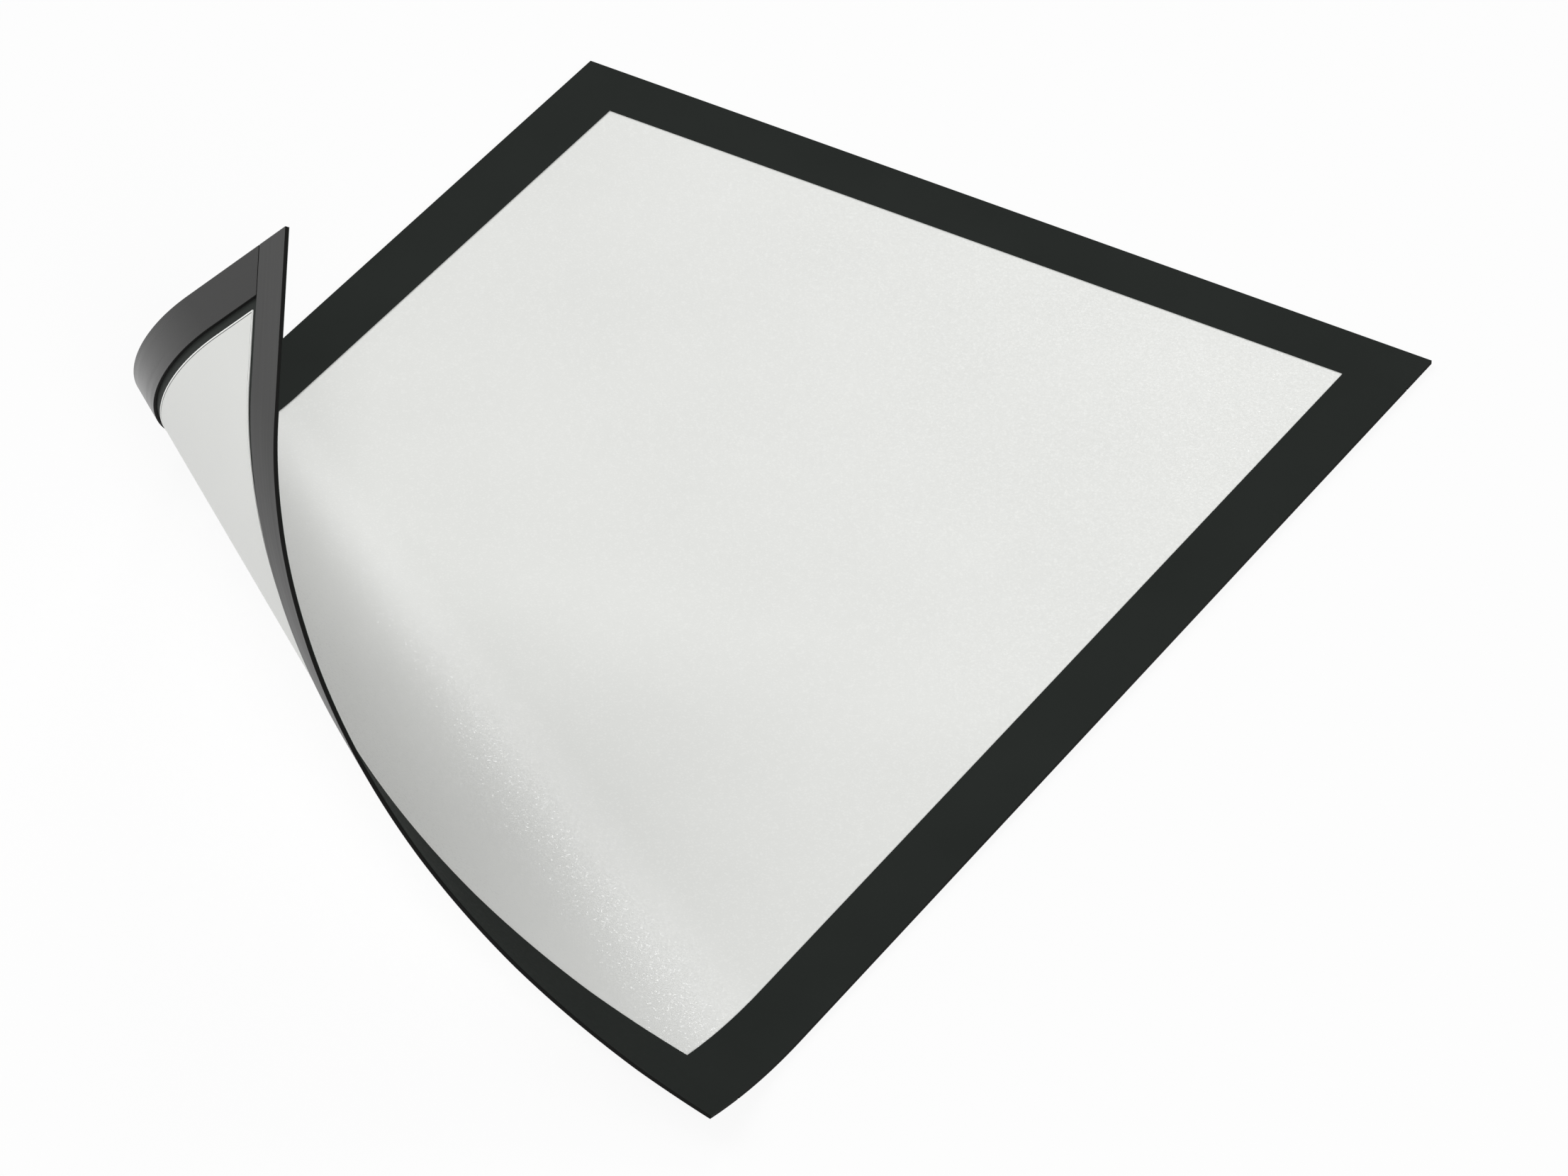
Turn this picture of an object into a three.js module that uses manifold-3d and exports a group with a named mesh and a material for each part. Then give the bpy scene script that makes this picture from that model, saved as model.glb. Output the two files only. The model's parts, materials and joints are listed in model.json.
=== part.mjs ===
// Flexible magnetic display frame for one sheet of paper, lying face up with its lower left corner peeled back.
// A black border foil carries a milky window film and four magnetic rubber strips on its back.
// The peeled corner is bent along straight fold lines that fan out from the left edge to the right edge,
// so it is made of flat facets, each turned a little further than the one before it.
// Millimetres. +X runs along the short side, +Y along the long side, +Z is up, out of the face.
// The origin is the middle of the sheet, on the surface that the strips lie on.
import * as THREE from 'three';
import { mergeVertices } from 'three/addons/utils/BufferGeometryUtils.js';
import Module from 'manifold-3d';

const wasm = await Module();
wasm.setup();

// The sheet of paper that the frame shows
const insertWidth = 210;
const insertHeight = 297;
const insertClearance = 1; // play between the paper and the strips round it
const insertOverlap = 2.5; // how much of the paper's edge the border hides

// Strips and layers, counted from the face down
const stripWidth = 12;
const foilThickness = 0.2;
const filmThickness = 0.2;
const stripThickness = 0.8;
const glueLine = 0.05; // between the foil and what is bonded to its back
const filmLap = 0.9; // how far the film runs in behind the border
const stripGap = 0.3; // at the butt joints between strips

// The peeled corner
const foldCount = 8;
const curlAngle = 118; // degrees from the panel to the corner, over all folds
const leftLift = 180; // the bend starts this far above the lower left corner, on the left edge
const rightLift = 36.5; // and this far above the lower right corner, on the right edge
const cornerDrop = 278; // the line through the lower left corner meets the right edge's line this far below
const bentShare = 0.739; // share of the way to the corner that is bent; the tip beyond it stays straight
const foldGrowth = 0.2; // the folds lie a little wider apart towards the tip
const foldGap = 0.2; // slit between two facets when they lie flat

const width = insertWidth + 2 * (insertClearance + stripWidth);
const height = insertHeight + 2 * (insertClearance + stripWidth);
const borderWidth = stripWidth + insertClearance + insertOverlap;
const right = width / 2;
const left = -right;
const top = height / 2;
const bottom = -top;
const innerLeft = left + borderWidth;
const innerBottom = bottom + borderWidth;
const face = stripThickness + glueLine + foilThickness; // height of the front face
const foilBack = face - foilThickness;
const filmFront = foilBack - glueLine;

const foilMaterial = new THREE.MeshStandardMaterial({ color: 0x282b28, roughness: 0.6, metalness: 0 });
const filmMaterial = new THREE.MeshStandardMaterial({ color: 0xe5e6e3, roughness: 0.45, metalness: 0 });
const stripMaterial = new THREE.MeshStandardMaterial({ color: 0x4a4a49, roughness: 0.5, metalness: 0 });

function toSolid(geometry) {
  const bare = geometry.clone();
  bare.deleteAttribute('normal');
  bare.deleteAttribute('uv');
  const merged = mergeVertices(bare);
  const vertProperties = Float32Array.from(merged.attributes.position.array);
  const triVerts = Uint32Array.from(merged.index.array);
  return new wasm.Manifold(new wasm.Mesh({ numProp: 3, vertProperties, triVerts }));
}

function toGeometry(solid) {
  const mesh = solid.getMesh();
  const geometry = new THREE.BufferGeometry();
  geometry.setAttribute('position', new THREE.BufferAttribute(mesh.vertProperties, 3));
  geometry.setIndex(new THREE.BufferAttribute(mesh.triVerts, 1));
  geometry.computeVertexNormals();
  return geometry;
}

function rectangle(x0, y0, x1, y1) {
  return [[x0, y0], [x1, y0], [x1, y1], [x0, y1]].map(([x, y]) => new THREE.Vector2(x, y));
}

// A flat plate with the given outline, between two heights.
function plate(outline, z0, z1, hole) {
  const shape = new THREE.Shape(outline);
  if (hole) shape.holes.push(new THREE.Path(hole));
  const geometry = new THREE.ExtrudeGeometry(shape, { depth: z1 - z0, bevelEnabled: false });
  return toSolid(geometry.translate(0, 0, z0));
}

// The whole layers, flat, before they are divided at the folds.
const outer = rectangle(left, bottom, right, top);
const opening = rectangle(innerLeft, innerBottom, -innerLeft, -innerBottom);
const filmLeft = innerLeft - filmLap;
const filmBottom = innerBottom - filmLap;
const sideBottom = bottom + stripWidth + stripGap; // the side strips stand between the top and bottom ones
const foil = plate(outer, foilBack, face, opening);
const leftArm = plate(rectangle(left, bottom, innerLeft, top), foilBack, face);
const otherArms = foil.subtract(leftArm);
const film = plate(rectangle(filmLeft, filmBottom, -filmLeft, -filmBottom), filmFront - filmThickness, filmFront);
const strips = {
  magnet_top: plate(rectangle(left, top - stripWidth, right, top), 0, stripThickness),
  magnet_bottom: plate(rectangle(left, bottom, right, bottom + stripWidth), 0, stripThickness),
  magnet_left: plate(rectangle(left, sideBottom, left + stripWidth, -sideBottom), 0, stripThickness),
  magnet_right: plate(rectangle(right - stripWidth, sideBottom, right, -sideBottom), 0, stripThickness),
};

// Fold lines run straight from the left edge to the right edge. Each is known by its share of the way
// from the line where the bend starts, 0, to the line through the lower left corner, 1.
function foldShare(index) {
  const edge = (i) => (bentShare * i * (1 - foldGrowth + (foldGrowth * i) / foldCount)) / foldCount;
  return (edge(index - 1) + edge(index)) / 2;
}

function foldEnds(index) {
  const share = foldShare(index);
  const start = new THREE.Vector3(left, bottom + leftLift * (1 - share), face);
  const end = new THREE.Vector3(right, bottom + rightLift - (rightLift + cornerDrop) * share, face);
  return { start, end };
}

// Height on the sheet of a fold line at x, moved sideways by an offset square to it.
function foldY(index, x, offset) {
  const { start, end } = foldEnds(index);
  const slope = (end.y - start.y) / (end.x - start.x);
  return start.y + slope * (x - start.x) + offset * Math.hypot(1, slope);
}

// The part of the sheet between two folds, 0 being the flat panel and foldCount the tip.
function facetRegion(index) {
  const past = height + width; // reaches past the sheet, where no fold bounds the facet
  const upperY = (x) => (index === 0 ? foldY(1, x, past) : foldY(index, x, -foldGap / 2));
  const lowerY = (x) => (index === foldCount ? foldY(index, x, -past) : foldY(index + 1, x, foldGap / 2));
  const x0 = left - borderWidth;
  const x1 = right + borderWidth;
  const outline = [[x0, lowerY(x0)], [x1, lowerY(x1)], [x1, upperY(x1)], [x0, upperY(x0)]];
  const solid = plate(outline.map(([x, y]) => new THREE.Vector2(x, y)), -face, 2 * face);
  return { solid, holdsCorner: lowerY(innerLeft) < innerBottom };
}

// The pieces of every layer that lie in one facet, as [name, solid, material].
function facetPieces(index) {
  const { solid: region, holdsCorner } = facetRegion(index);
  const suffix = index === 0 ? '' : `_fold_${index}`;
  const pieces = [];
  if (index === 0) {
    pieces.push(['border', foil.intersect(region), foilMaterial]);
  } else if (holdsCorner) {
    pieces.push([`border_corner${suffix}`, foil.intersect(region), foilMaterial]);
  } else {
    pieces.push([`border_left${suffix}`, leftArm.intersect(region), foilMaterial]);
    pieces.push([`border_lower${suffix}`, otherArms.intersect(region), foilMaterial]);
  }
  pieces.push([`window_film${suffix}`, film.intersect(region), filmMaterial]);
  for (const [name, strip] of Object.entries(strips)) {
    pieces.push([name + suffix, strip.intersect(region), stripMaterial]);
  }
  return pieces.filter(([, solid]) => !solid.isEmpty());
}

// Each facet hangs on the one before it and is turned about the fold between them, on the front face.
const frame = new THREE.Group();
let carrier = frame;
let pivot = new THREE.Vector3();
for (let index = 0; index <= foldCount; index += 1) {
  if (index > 0) {
    const { start, end } = foldEnds(index);
    const axis = start.clone().sub(end).normalize();
    const facet = new THREE.Group();
    facet.name = `fold_${index}`;
    facet.position.copy(start).sub(pivot);
    facet.quaternion.setFromAxisAngle(axis, THREE.MathUtils.degToRad(curlAngle / foldCount));
    carrier.add(facet);
    carrier = facet;
    pivot = start;
  }
  for (const [name, solid, material] of facetPieces(index)) {
    const mesh = new THREE.Mesh(toGeometry(solid), material);
    mesh.name = name;
    mesh.position.copy(pivot).negate();
    carrier.add(mesh);
  }
}

export default frame;
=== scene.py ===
import json
import math
import bmesh
import bpy
from mathutils import Matrix, Vector

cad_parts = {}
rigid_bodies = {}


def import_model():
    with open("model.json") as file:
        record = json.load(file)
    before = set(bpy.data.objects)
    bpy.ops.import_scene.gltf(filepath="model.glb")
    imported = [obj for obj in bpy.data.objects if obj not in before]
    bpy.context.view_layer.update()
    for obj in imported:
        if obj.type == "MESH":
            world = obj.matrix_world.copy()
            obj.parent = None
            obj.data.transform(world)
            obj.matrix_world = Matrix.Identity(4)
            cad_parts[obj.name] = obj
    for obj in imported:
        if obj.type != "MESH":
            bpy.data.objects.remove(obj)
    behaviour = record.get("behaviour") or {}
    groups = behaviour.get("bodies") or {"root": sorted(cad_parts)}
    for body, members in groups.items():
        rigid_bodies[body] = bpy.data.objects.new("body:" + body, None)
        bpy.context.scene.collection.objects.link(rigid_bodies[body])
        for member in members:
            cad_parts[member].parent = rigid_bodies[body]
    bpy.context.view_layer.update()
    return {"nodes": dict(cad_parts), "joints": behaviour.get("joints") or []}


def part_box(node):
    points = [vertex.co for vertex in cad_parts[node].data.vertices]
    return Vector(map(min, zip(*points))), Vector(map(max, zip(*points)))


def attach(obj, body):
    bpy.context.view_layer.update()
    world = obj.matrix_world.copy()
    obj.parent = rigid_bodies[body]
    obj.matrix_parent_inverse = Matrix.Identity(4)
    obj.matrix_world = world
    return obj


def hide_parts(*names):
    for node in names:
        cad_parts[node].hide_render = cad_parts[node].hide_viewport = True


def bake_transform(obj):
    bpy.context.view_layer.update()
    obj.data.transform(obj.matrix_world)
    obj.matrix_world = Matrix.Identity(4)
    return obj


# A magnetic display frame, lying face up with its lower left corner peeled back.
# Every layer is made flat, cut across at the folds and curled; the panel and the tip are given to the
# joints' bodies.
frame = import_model()
scene = bpy.context.scene
scene.view_settings.view_transform = "Standard"
mm = 0.001


# Stands on the end of a boom and looks back along it; degrees round from +X and degrees up
def onBoom(foot, around, above, length):
    flat = math.cos(math.radians(above))
    boom = Vector((
        flat * math.cos(math.radians(around)),
        flat * math.sin(math.radians(around)),
        math.sin(math.radians(above)),
    ))
    turn = boom.to_track_quat("Z", "Y").to_matrix().to_4x4()
    return Matrix.Translation(foot + boom * length) @ turn


# Camera: a long lens about 2 m off, seen from the lower right
shot = {
    "aim": (33.24, 7.08, 1.05),  # mm, where the middle of the picture meets the face
    "distance": 2001.6,  # mm
    "around": -58.43,  # degrees from +X
    "above": 38.24,  # degrees
    "roll": 0.07,  # degrees
    "lens": 201.1,  # mm
    "sensor": 36,  # mm wide
}


def placeCamera():
    camera = bpy.data.objects.new("camera", bpy.data.cameras.new("camera"))
    camera.data.sensor_width = shot["sensor"]
    camera.data.lens = shot["lens"]
    stand = onBoom(Vector(shot["aim"]) * mm, shot["around"], shot["above"], shot["distance"] * mm)
    camera.matrix_world = stand @ Matrix.Rotation(math.radians(shot["roll"]), 4, "Z")
    scene.collection.objects.link(camera)
    scene.camera = camera


placeCamera()
print("camera placed")

# The flat sheet, measured on the frame's nodes: it is centred on the origin, face up
borderLow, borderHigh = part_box("border")
filmLow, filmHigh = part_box("window_film")
topStripLow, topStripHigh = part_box("magnet_top")
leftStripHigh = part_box("magnet_left")[1]
right, top, face = borderHigh
openingRight = min(abs(v.co.x) for v in frame["nodes"]["border"].data.vertices)
borderWidth = right - openingRight

# The curl: every joint is a straight fold, and its lower limit lays the sheet flat
folds = frame["joints"]
bodies = [folds[0]["parent"]] + [fold["child"] for fold in folds]
lastFold = len(folds)
flatFromRest = [Matrix.Identity(4)]
for fold in folds:
    pivot = Matrix.Translation(fold["pos_m"])
    turn = Matrix.Rotation(math.radians(fold["range_deg"][0]), 4, Vector(fold["axis"]))
    flatFromRest.append(flatFromRest[-1] @ pivot @ turn @ pivot.inverted())
restFromFlat = [m.inverted() for m in flatFromRest]

# One even reach, 2.7 times half a usual facet, sets how far the first and last zones
# run into the panel and the tip
bend = {
    "reach": 23.2,  # mm beside the first and last folds, where the layers are cut
    "steps": 14,  # flat steps that round off one fold
    "hairline": 0.004,  # a last step this thin at each end, so that shading runs on into the next zone
    "aside": 10.0,  # mm, a step along the bend that shows its direction
    "sharp": 12.0,  # degrees; edges that turn further than this are shaded as sharp
}


# A line across the flat sheet is kept as its heights on the left and right edges
def foldLine(index):
    fold = folds[index - 1]
    point = flatFromRest[index] @ Vector(fold["pos_m"])
    run = flatFromRest[index].to_3x3() @ Vector(fold["axis"])
    return Vector([point.y + run.y / run.x * (x - point.x) for x in (-right, right)])


def heightOn(line, x):
    return line[0] + (line[1] - line[0]) * (x + right) / (2 * right)


foldLines = [None] + [foldLine(i) for i in range(1, lastFold + 1)]
middles = [(foldLines[i] + foldLines[i + 1]) / 2 for i in range(1, lastFold)]
# zone i of the curl turns about fold i, from zoneEdges[i - 1] to zoneEdges[i]
zoneEdges = [2 * foldLines[1] - middles[0]] + middles + [2 * foldLines[lastFold] - middles[-1]]


# A line beside a fold, moved up by an offset square to it
def besideFold(index, offset):
    slope = (foldLines[index][1] - foldLines[index][0]) / (2 * right)
    rise = offset * mm * math.hypot(1, slope)
    return foldLines[index] + Vector((rise, rise))


# The layers are cut here; the first and last zones take in some of the panel and the tip
cutEdges = [besideFold(1, bend["reach"])] + middles + [besideFold(lastFold, -bend["reach"])]


# Point and downward tangent of the rounded face, at x and at a share of the way through a zone
def roundedFace(zone, x, share):
    upper = restFromFlat[zone - 1] @ Vector((x, heightOn(zoneEdges[zone - 1], x), face))
    crease = restFromFlat[zone] @ Vector((x, heightOn(foldLines[zone], x), face))
    lower = restFromFlat[zone] @ Vector((x, heightOn(zoneEdges[zone], x), face))
    first = upper.lerp(crease, share)
    second = crease.lerp(lower, share)
    return first.lerp(second, share), second - first


# Where a point of the flat sheet lies once the corner is peeled back
def curled(point):
    x, y, z = point
    if y >= heightOn(zoneEdges[0], x):
        return point.copy()
    zone = next((i for i in range(1, lastFold + 1) if y >= heightOn(zoneEdges[i], x)), None)
    if zone is None:
        return restFromFlat[lastFold] @ point
    upper = heightOn(zoneEdges[zone - 1], x)
    share = (upper - y) / (upper - heightOn(zoneEdges[zone], x))
    spot, down = roundedFace(zone, x, share)
    across = roundedFace(zone, x + bend["aside"] * mm, share)[0] - spot
    outward = down.cross(across).normalized()
    return spot + outward * (z - face)


# Flat plates of each layer, before they are cut at the folds and curled
def flatPlate(low, high):
    plate = bmesh.new()
    bmesh.ops.create_cube(plate, size=1)
    bmesh.ops.scale(plate, vec=Vector(high) - Vector(low), verts=plate.verts)
    bmesh.ops.translate(plate, vec=(Vector(low) + Vector(high)) / 2, verts=plate.verts)
    plate.normal_update()
    return plate


def facesUp(side):
    return side.normal.z > 0.5


def facesDown(side):
    return side.normal.z < -0.5


def cutOpening(plate, wall):
    caps = [f for f in plate.faces if facesUp(f) or facesDown(f)]
    bmesh.ops.inset_region(plate, faces=caps, thickness=wall, use_even_offset=True)
    rims = [e for f in caps for e in f.edges]
    bmesh.ops.delete(plate, geom=caps, context="FACES_ONLY")
    bmesh.ops.bridge_loops(plate, edges=rims)
    bmesh.ops.recalc_face_normals(plate, faces=plate.faces)


def softenEdges(plate, radius):
    square = [e for e in plate.edges if e.calc_face_angle(0) > math.radians(60)]
    bmesh.ops.bevel(
        plate, geom=square, offset=radius, offset_type="OFFSET", segments=2,
        profile=0.5, affect="EDGES", material=-1, clamp_overlap=True,
    )
    plate.normal_update()


def cutAlong(plate, line, keep="both"):
    start = Vector((-right, line[0], 0))
    run = Vector((2 * right, line[1] - line[0], 0))
    bmesh.ops.bisect_plane(
        plate, geom=plate.verts[:] + plate.edges[:] + plate.faces[:], dist=1e-7,
        plane_co=start, plane_no=Vector((run.y, -run.x, 0)).normalized(),
        clear_outer=keep == "above", clear_inner=keep == "below",
    )
    if keep != "both":
        rim = [e for e in plate.edges if e.is_boundary]
        bmesh.ops.holes_fill(plate, edges=rim, sides=0)


# The lines that round off a zone, and those where it runs out into the panel or the tip
def bendLines(zone):
    steps = bend["steps"]
    shares = [i / steps for i in range(1, steps)] + [bend["hairline"], 1 - bend["hairline"]]
    lines = [zoneEdges[zone - 1].lerp(zoneEdges[zone], share) for share in shares]
    if zone == 1:
        lines += [cutEdges[0].lerp(zoneEdges[0], i / steps) for i in range(1, steps + 1)]
    if zone == lastFold:
        lines += [cutEdges[zone].lerp(zoneEdges[zone], i / steps) for i in range(1, steps + 1)]
    return lines


# The frame's nodes of one layer that lie in one facet, 0 being the panel
def nodesIn(cadName, fold):
    suffix = f"_fold_{fold}" if fold else ""
    named = [n for n in frame["nodes"] if n.startswith(cadName) and n.endswith(suffix)]
    return [n for n in named if "_fold_" not in n.removesuffix(suffix)]


# Keeps the flat place of every point for the materials, lengthwise first, then curls the mesh
def curlPiece(stretch, along):
    place = stretch.verts.layers.float_vector.new("sheet")
    for vert in stretch.verts:
        x, y, z = vert.co
        vert[place] = (x, y, z) if along == "x" else (y, x, z)
        vert.co = curled(vert.co)
    bmesh.ops.recalc_face_normals(stretch, faces=stretch.faces)
    for side in stretch.faces:
        side.smooth = True
    for edge in stretch.edges:
        edge.smooth = edge.calc_face_angle(0) < math.radians(bend["sharp"])


# A bending zone keeps its place: its placement is baked into the mesh, and it is given to no body
def bendWith(piece):
    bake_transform(piece)


# Cuts one layer at the folds, curls it and hands the panel and the tip to the bodies that carry them
def layPieces(name, plate, cadName, materials, along="x"):
    waiting = []  # nodes that the next piece stands for
    count = 0
    for region in range(lastFold + 2):
        stretch = plate.copy()
        if region > 0:
            cutAlong(stretch, cutEdges[region - 1], "below")
        if region <= lastFold:
            cutAlong(stretch, cutEdges[region], "above")
        fold = min(region, lastFold)
        waiting += nodesIn(cadName, fold)
        if not stretch.verts:
            stretch.free()
            continue
        bends = 0 < region <= lastFold
        ending = "_tip" if region else ""
        if bends:
            ending = f"_fold_{region}"
            for line in bendLines(region):
                cutAlong(stretch, line)
        curlPiece(stretch, along)
        mesh = bpy.data.meshes.new(name + ending)
        stretch.to_mesh(mesh)
        stretch.free()
        for material in materials:
            mesh.materials.append(material)
        piece = bpy.data.objects.new(name + ending, mesh)
        scene.collection.objects.link(piece)
        if bends:
            bendWith(piece)
        else:
            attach(piece, bodies[fold])
        if waiting:
            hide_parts(*waiting)
            waiting = []
        count += 1
    plate.free()
    print(name, "laid in", count, "pieces")


# What the materials share
def hexColour(code):
    channels = [int(code[i:i + 2], 16) / 255 for i in (1, 3, 5)]
    return tuple(c / 12.92 if c <= 0.04045 else ((c + 0.055) / 1.055) ** 2.4 for c in channels) + (1.0,)


def newMaterial(name):
    material = bpy.data.materials.new(name)
    material.use_nodes = True
    material.node_tree.nodes.clear()
    return material


def addNode(tree, kind, settings=(), links=()):
    node = tree.nodes.new("ShaderNode" + kind)
    for key, value in dict(settings).items():
        if hasattr(node, str(key)):
            setattr(node, key, value)
        else:
            node.inputs[key].default_value = value
    for key, source in dict(links).items():
        tree.links.new(source, node.inputs[key])
    return node


# The place on the flat sheet, which every material is drawn on
def sheetPlace(tree):
    return addNode(tree, "Attribute", {"attribute_name": "sheet"}).outputs["Vector"]


def grainOf(tree, place, size, detail, roughness=0.5):
    settings = {"Scale": 1 / (size * mm), "Detail": detail, "Roughness": roughness}
    return addNode(tree, "TexNoise", settings, {"Vector": place}).outputs["Fac"]


def toneBetween(tree, value, tones):
    ramp = addNode(tree, "ValToRGB", {}, {"Fac": value})
    for stop, tone in zip(ramp.color_ramp.elements, tones):
        stop.color = hexColour(tone)
    return ramp.outputs["Color"]


# Nearly all noise lies between 0.3 and 0.7
def spread(tree, noise, low, high):
    settings = {"From Min": 0.3, "From Max": 0.7, "To Min": low, "To Max": high}
    return addNode(tree, "MapRange", settings, {"Value": noise}).outputs["Result"]


def relief(tree, height, strength, depth):
    settings = {"Strength": strength, "Distance": depth * mm}
    return addNode(tree, "Bump", settings, {"Height": height}).outputs["Normal"]


def coverWith(tree, settings, links):
    shader = addNode(tree, "BsdfPrincipled", settings, links)
    addNode(tree, "OutputMaterial", {}, {"Surface": shader.outputs["BSDF"]})


# Calendered PVC foil, black: a fine leathery emboss leaves the face matt, the back is a little smoother
vinylFinish = {
    "face": ("#212422", "#262927"),
    # the back's tones are lighter than the face's: a painted sheen for the stronger reflection of its
    # smoother side
    "back": ("#2b2e2c", "#303331"),
    "faceRoughness": (0.68, 0.84),
    "backRoughness": (0.5, 0.62),
    "ior": 1.53,
    "specular": 0.03,
    "grain": 0.7,  # mm; the real emboss is about 0.2 mm, drawn coarser so that it shows
    "grainDepth": 0.012,  # mm
    "grainStrength": 0.6,
    "mottle": 38.0,  # mm, slow changes of tone from the calender rolls
}


def blackVinyl(name, tones, roughness):
    material = newMaterial(name)
    tree = material.node_tree
    place = sheetPlace(tree)
    grain = grainOf(tree, place, vinylFinish["grain"], 3.0, 0.55)
    mottle = grainOf(tree, place, vinylFinish["mottle"], 2.0)
    both = addNode(tree, "Math", {"operation": "ADD"}, {0: grain, 1: mottle})
    middle = addNode(tree, "MapRange", {"From Min": 0.7, "From Max": 1.3}, {"Value": both.outputs[0]})
    coverWith(
        tree,
        {"IOR": vinylFinish["ior"], "Specular IOR Level": vinylFinish["specular"]},
        {
            "Base Color": toneBetween(tree, middle.outputs["Result"], tones),
            "Roughness": spread(tree, grain, *roughness),
            "Normal": relief(tree, grain, vinylFinish["grainStrength"], vinylFinish["grainDepth"]),
        },
    )
    return material


# Cast film, milky: the face is frosted against glare and glitters where light comes in low,
# the back is smooth
filmFinish = {
    "milky": ("#d8d9d6", "#e0e1de"),
    "backed": ("#636462", "#6b6c6a"),  # where the black foil lies close behind
    "edge": ("#f6f7f4", "#fbfcf9"),  # the cut edge is whitish, and painted brighter still: a painted highlight for the light it catches
    "roughness": (0.34, 0.46),
    "ior": 1.5,
    "specular": 0.35,
    "frost": 0.6,  # mm; the real frosting is finer, drawn as coarse as it needs to show
    "frostDepth": 0.012,  # mm
    "faceFrosting": 1.0,  # share of that depth
    "backFrosting": 0.1,
    "cloud": 55.0,  # mm, faint clouds in the milkiness
    # the paler tone of the glittering facets, a painted glint
    "facet": "#eeefec",
    "fleck": 0.38,  # mm, size of the glittering facets, also drawn coarser than they are
    "fleckShare": 0.17,  # of all facets, those that glitter
    "fleckTilt": 0.3,
    "fleckGloss": 0.3,
    "fleckRoughness": 0.11,
}


# A few facets, each tilted its own way, glint under a thin clear coat; they are also painted paler, a
# painted glint
def addGlitter(tree, place, tone, settings, links):
    facets = addNode(tree, "TexVoronoi", {"Scale": 1 / (filmFinish["fleck"] * mm)}, {"Vector": place})
    chance = addNode(tree, "TexWhiteNoise", {}, {"Vector": facets.outputs["Position"]})
    tilt = addNode(tree, "VectorMath", {"operation": "SUBTRACT", 1: (0.5, 0.5, 0.5)},
                   {0: chance.outputs["Color"]})
    lean = addNode(tree, "VectorMath", {"operation": "SCALE", "Scale": filmFinish["fleckTilt"]},
                   {0: tilt.outputs["Vector"]})
    surface = addNode(tree, "NewGeometry")
    leaning = addNode(tree, "VectorMath", {"operation": "ADD"},
                      {0: surface.outputs["Normal"], 1: lean.outputs["Vector"]})
    glint = addNode(tree, "VectorMath", {"operation": "NORMALIZE"}, {0: leaning.outputs["Vector"]})
    chosen = addNode(tree, "Math", {"operation": "LESS_THAN", 1: filmFinish["fleckShare"]},
                     {0: chance.outputs["Value"]})
    weight = addNode(tree, "Math", {"operation": "MULTIPLY", 1: filmFinish["fleckGloss"]},
                     {0: chosen.outputs[0]})
    # the glittering facets are painted paler here: a painted glint
    # sockets 6 and 7 are the two colours of a mix, and 2 is its colour output
    paintedGlintTone = addNode(tree, "Mix", {"data_type": "RGBA", 7: hexColour(filmFinish["facet"])},
                   {0: weight.outputs[0], 6: tone})
    settings["Coat Roughness"] = filmFinish["fleckRoughness"]
    links["Base Color"] = paintedGlintTone.outputs[2]
    links["Coat Weight"] = weight.outputs[0]
    links["Coat Normal"] = glint.outputs["Vector"]


def milkyFilm(name, tones, frosting, glitters=False):
    material = newMaterial(name)
    tree = material.node_tree
    place = sheetPlace(tree)
    frost = grainOf(tree, place, filmFinish["frost"], 2.0, 0.6)
    cloud = grainOf(tree, place, filmFinish["cloud"], 3.0)
    tone = toneBetween(tree, cloud, tones)
    settings = {"IOR": filmFinish["ior"], "Specular IOR Level": filmFinish["specular"]}
    links = {
        "Base Color": tone,
        "Roughness": spread(tree, frost, *filmFinish["roughness"]),
        "Normal": relief(tree, frost, frosting, filmFinish["frostDepth"]),
    }
    if glitters:
        addGlitter(tree, place, tone, settings, links)
    coverWith(tree, settings, links)
    return material


# Ferrite rubber, extruded and rolled: a satin grey skin with faint lengthwise drawing lines,
# and matt black where the knife has cut it. The side strips are smoother and a shade darker
# than those at the top and bottom ends.
rubberFinish = {
    "side": {"tones": ("#181817", "#1b1b1a"), "roughness": (0.23, 0.28), "specular": 0.14},
    "end": {"tones": ("#181817", "#1b1b1a"), "roughness": (0.36, 0.42), "specular": 0.28},
    "cut": {"tones": ("#0b0b0a", "#10100f"), "roughness": (0.75, 0.9), "specular": 0.15},
    "ior": 1.5,
    "line": 1.4,  # mm between drawing lines
    "lineLength": 60.0,  # mm
    "lineDepth": 0.001,  # mm
    "lineStrength": 0.4,
}


def magnetRubber(name, finish):
    material = newMaterial(name)
    tree = material.node_tree
    place = sheetPlace(tree)
    perLength = 1 / (rubberFinish["lineLength"] * mm)
    perLine = 1 / (rubberFinish["line"] * mm)
    drawnOut = addNode(tree, "Mapping", {"Scale": (perLength, perLine, perLine)}, {"Vector": place})
    noise = addNode(tree, "TexNoise", {"Scale": 1.0, "Detail": 3.0}, {"Vector": drawnOut.outputs["Vector"]})
    lines = noise.outputs["Fac"]
    coverWith(
        tree,
        {"IOR": rubberFinish["ior"], "Specular IOR Level": finish["specular"]},
        {
            "Base Color": toneBetween(tree, lines, finish["tones"]),
            "Roughness": spread(tree, lines, *finish["roughness"]),
            "Normal": relief(tree, lines, rubberFinish["lineStrength"], rubberFinish["lineDepth"]),
        },
    )
    return material


# Border foil: one ring, open at the window
foilShape = {"edge": 0.05}  # mm, rounding of the die-cut edges


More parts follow.
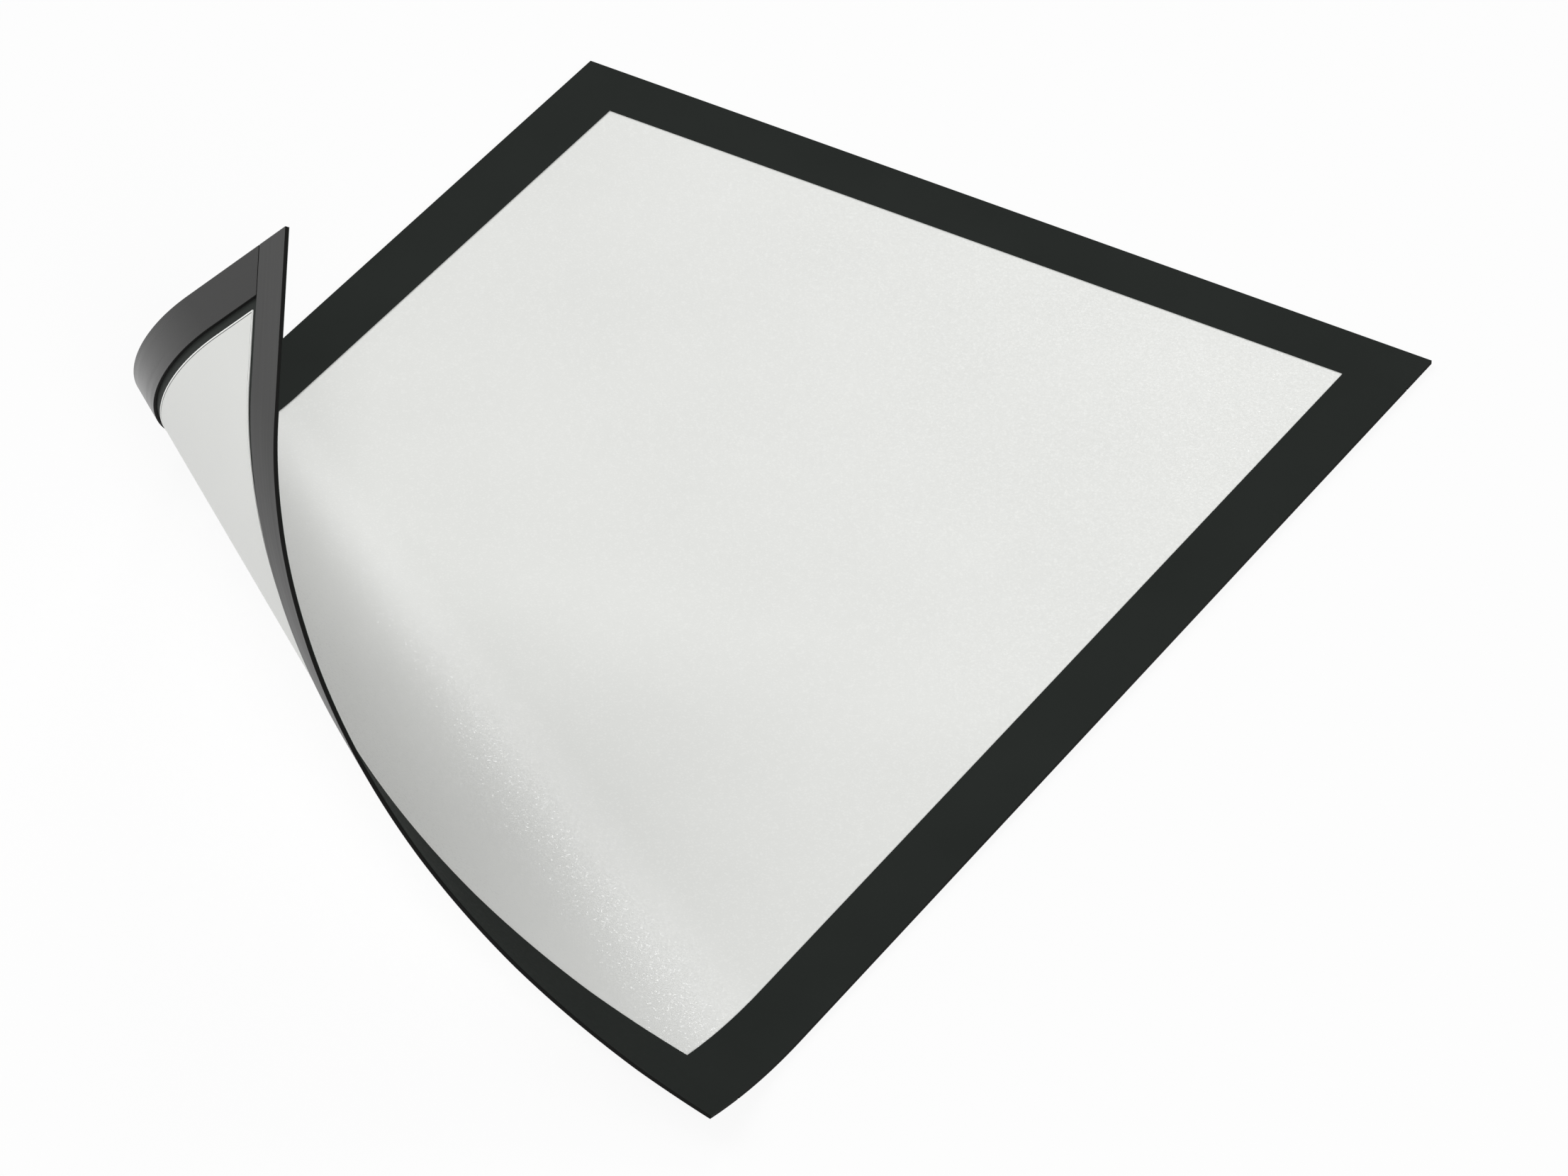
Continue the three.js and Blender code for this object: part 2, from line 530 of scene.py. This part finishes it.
def makeBorder():
    ring = flatPlate((-right, -top, borderLow.z), (right, top, face))
    cutOpening(ring, borderWidth)
    for side in ring.faces:
        side.material_index = 1 if facesDown(side) else 0
    softenEdges(ring, foilShape["edge"] * mm)
    matt = blackVinyl("matt_black_vinyl_foil", vinylFinish["face"], vinylFinish["faceRoughness"])
    # the back is smoother, and its lighter tones are a painted sheen
    satin = blackVinyl("satin_black_vinyl_back_painted_sheen", vinylFinish["back"], vinylFinish["backRoughness"])
    layPieces("border_foil", ring, "border", [matt, satin])


# Window film, bonded to the back of the border: its cut edge stands up as a whitish bead, painted brighter
# as a painted highlight, and just inside it the black foil behind shows through as a thin grey line
filmShape = {
    "bead": 0.3,  # mm wide
    "beadHeight": 0.07,  # mm
    "greyLine": 0.27,  # mm wide
}


def insetBack(pane, back, width):
    return bmesh.ops.inset_region(pane, faces=back, thickness=width * mm, use_even_offset=True)["faces"]


def makeFilm():
    pane = flatPlate((filmLow.x, -filmHigh.y, filmLow.z), (filmHigh.x, filmHigh.y, filmHigh.z))
    back = [f for f in pane.faces if facesDown(f)]
    rim = insetBack(pane, back, filmShape["bead"])
    line = insetBack(pane, back, filmShape["greyLine"])
    for side in pane.faces:
        side.material_index = 2 if side in line else 0 if facesUp(side) else 1
    for side in rim:
        side.material_index = 3
    raised = bmesh.ops.extrude_face_region(pane, geom=rim)["geom"]
    bmesh.ops.delete(pane, geom=[f for f in rim if f.is_valid], context="FACES_ONLY")
    bmesh.ops.translate(pane, vec=(0, 0, -filmShape["beadHeight"] * mm),
                        verts=[v for v in raised if isinstance(v, bmesh.types.BMVert)])
    layPieces("window_film", pane, "window_film", [
        milkyFilm("frosted_milky_film", filmFinish["milky"], filmFinish["faceFrosting"], glitters=True),
        milkyFilm("smooth_milky_film_back", filmFinish["milky"], filmFinish["backFrosting"]),
        milkyFilm("milky_film_over_foil", filmFinish["backed"], filmFinish["backFrosting"]),
        milkyFilm("bright_cut_film_edge_painted_highlight", filmFinish["edge"], filmFinish["backFrosting"]),
    ])


# Magnetic strips: top and bottom run the full width, the sides stand between them
stripShape = {"edge": 0.1}  # mm, rounding of the long edges


def makeStrips():
    sideSkin = magnetRubber("smooth_magnet_rubber", rubberFinish["side"])
    endSkin = magnetRubber("satin_magnet_rubber", rubberFinish["end"])
    cut = magnetRubber("cut_magnet_rubber", rubberFinish["cut"])
    stripWidth = topStripHigh.y - topStripLow.y
    sideTop = leftStripHigh.y
    strips = {
        "top": ((-right, top - stripWidth), (right, top), "x", endSkin),
        "bottom": ((-right, -top), (right, stripWidth - top), "x", endSkin),
        "left": ((-right, -sideTop), (stripWidth - right, sideTop), "y", sideSkin),
        "right": ((right - stripWidth, -sideTop), (right, sideTop), "y", sideSkin),
    }
    for name, (low, high, along, skin) in strips.items():
        bar = flatPlate((*low, topStripLow.z), (*high, topStripHigh.z))
        for side in bar.faces:
            side.material_index = 0 if facesUp(side) or facesDown(side) else 1
        softenEdges(bar, stripShape["edge"] * mm)
        layPieces(f"strip_{name}", bar, f"magnet_{name}", [skin, cut], along)


makeBorder()
makeFilm()
makeStrips()

# Studio: white floor and surround, and three large soft lamps at a plain level
studio = {
    "white": "#ffffff",
    "worldStrength": 0.16,
    "floorSize": 6.0,  # m, half a side
    "floorDrop": 0.4,  # mm below the sheet
    "floorColour": "#f2f2f2",
    "floorGlow": 0.88,  # share of plain white that the eye sees, the rest keeps the shadow
    "lamps": {  # degrees round from +X, degrees up, distance and size in m, power in W
        "key": (310, 32, 8.0, 3.6, 566.0),
        "side": (180, 38, 8.0, 6.4, 318.0),
        "back": (112, 33, 4.0, 1.2, 27.0),
    },
    "polarised": ("key",),  # leaves no mirror glare, which would bleach the film seen from across
}


# 1 for rays that look at a thing, straight, mirrored or through another, and 0 for those that light it
def lookingRays(tree):
    path = addNode(tree, "LightPath")
    mirrored = addNode(tree, "Math", {"operation": "MAXIMUM"},
                       {0: path.outputs["Is Camera Ray"], 1: path.outputs["Is Glossy Ray"]})
    looking = addNode(tree, "Math", {"operation": "MAXIMUM"},
                      {0: mirrored.outputs[0], 1: path.outputs["Is Transmission Ray"]})
    return looking.outputs[0]


def lightWorld():
    world = bpy.data.worlds.new("studio")
    scene.world = world
    world.use_nodes = True
    tree = world.node_tree
    tree.nodes.clear()
    white = hexColour(studio["white"])
    lit = addNode(tree, "Background", {"Color": white, "Strength": studio["worldStrength"]})
    seen = addNode(tree, "Background", {"Color": white, "Strength": 1.0})
    either = addNode(tree, "MixShader", {}, {0: lookingRays(tree), 1: lit.outputs[0], 2: seen.outputs[0]})
    addNode(tree, "OutputWorld", {}, {"Surface": either.outputs[0]})


# Matt white paint that is seen a little brighter than it is lit
def floorPaint():
    paint = newMaterial("white_floor")
    tree = paint.node_tree
    share = addNode(tree, "Math", {"operation": "MULTIPLY", 1: studio["floorGlow"]}, {0: lookingRays(tree)})
    matt = addNode(tree, "BsdfDiffuse", {"Color": hexColour(studio["floorColour"])})
    glow = addNode(tree, "Emission", {"Color": hexColour(studio["white"]), "Strength": 1.0})
    either = addNode(tree, "MixShader", {}, {0: share.outputs[0], 1: matt.outputs[0], 2: glow.outputs[0]})
    addNode(tree, "OutputMaterial", {}, {"Surface": either.outputs[0]})
    return paint


def layFloor():
    ground = bmesh.new()
    bmesh.ops.create_grid(ground, x_segments=1, y_segments=1, size=studio["floorSize"])
    bmesh.ops.translate(ground, vec=(0, 0, -studio["floorDrop"] * mm), verts=ground.verts)
    mesh = bpy.data.meshes.new("floor")
    ground.to_mesh(mesh)
    ground.free()
    floor = bpy.data.objects.new("floor", mesh)
    scene.collection.objects.link(floor)
    mesh.materials.append(floorPaint())


def hangLamps():
    for name, (around, above, distance, size, power) in studio["lamps"].items():
        lamp = bpy.data.lights.new(name, "AREA")
        lamp.shape = "DISK"
        lamp.size = size
        lamp.energy = power
        stand = bpy.data.objects.new(name, lamp)
        stand.visible_glossy = name not in studio["polarised"]
        stand.matrix_world = onBoom(Vector(), around, above, distance)
        scene.collection.objects.link(stand)


lightWorld()
layFloor()
hangLamps()
print("studio lit")

bpy.context.view_layer.update()
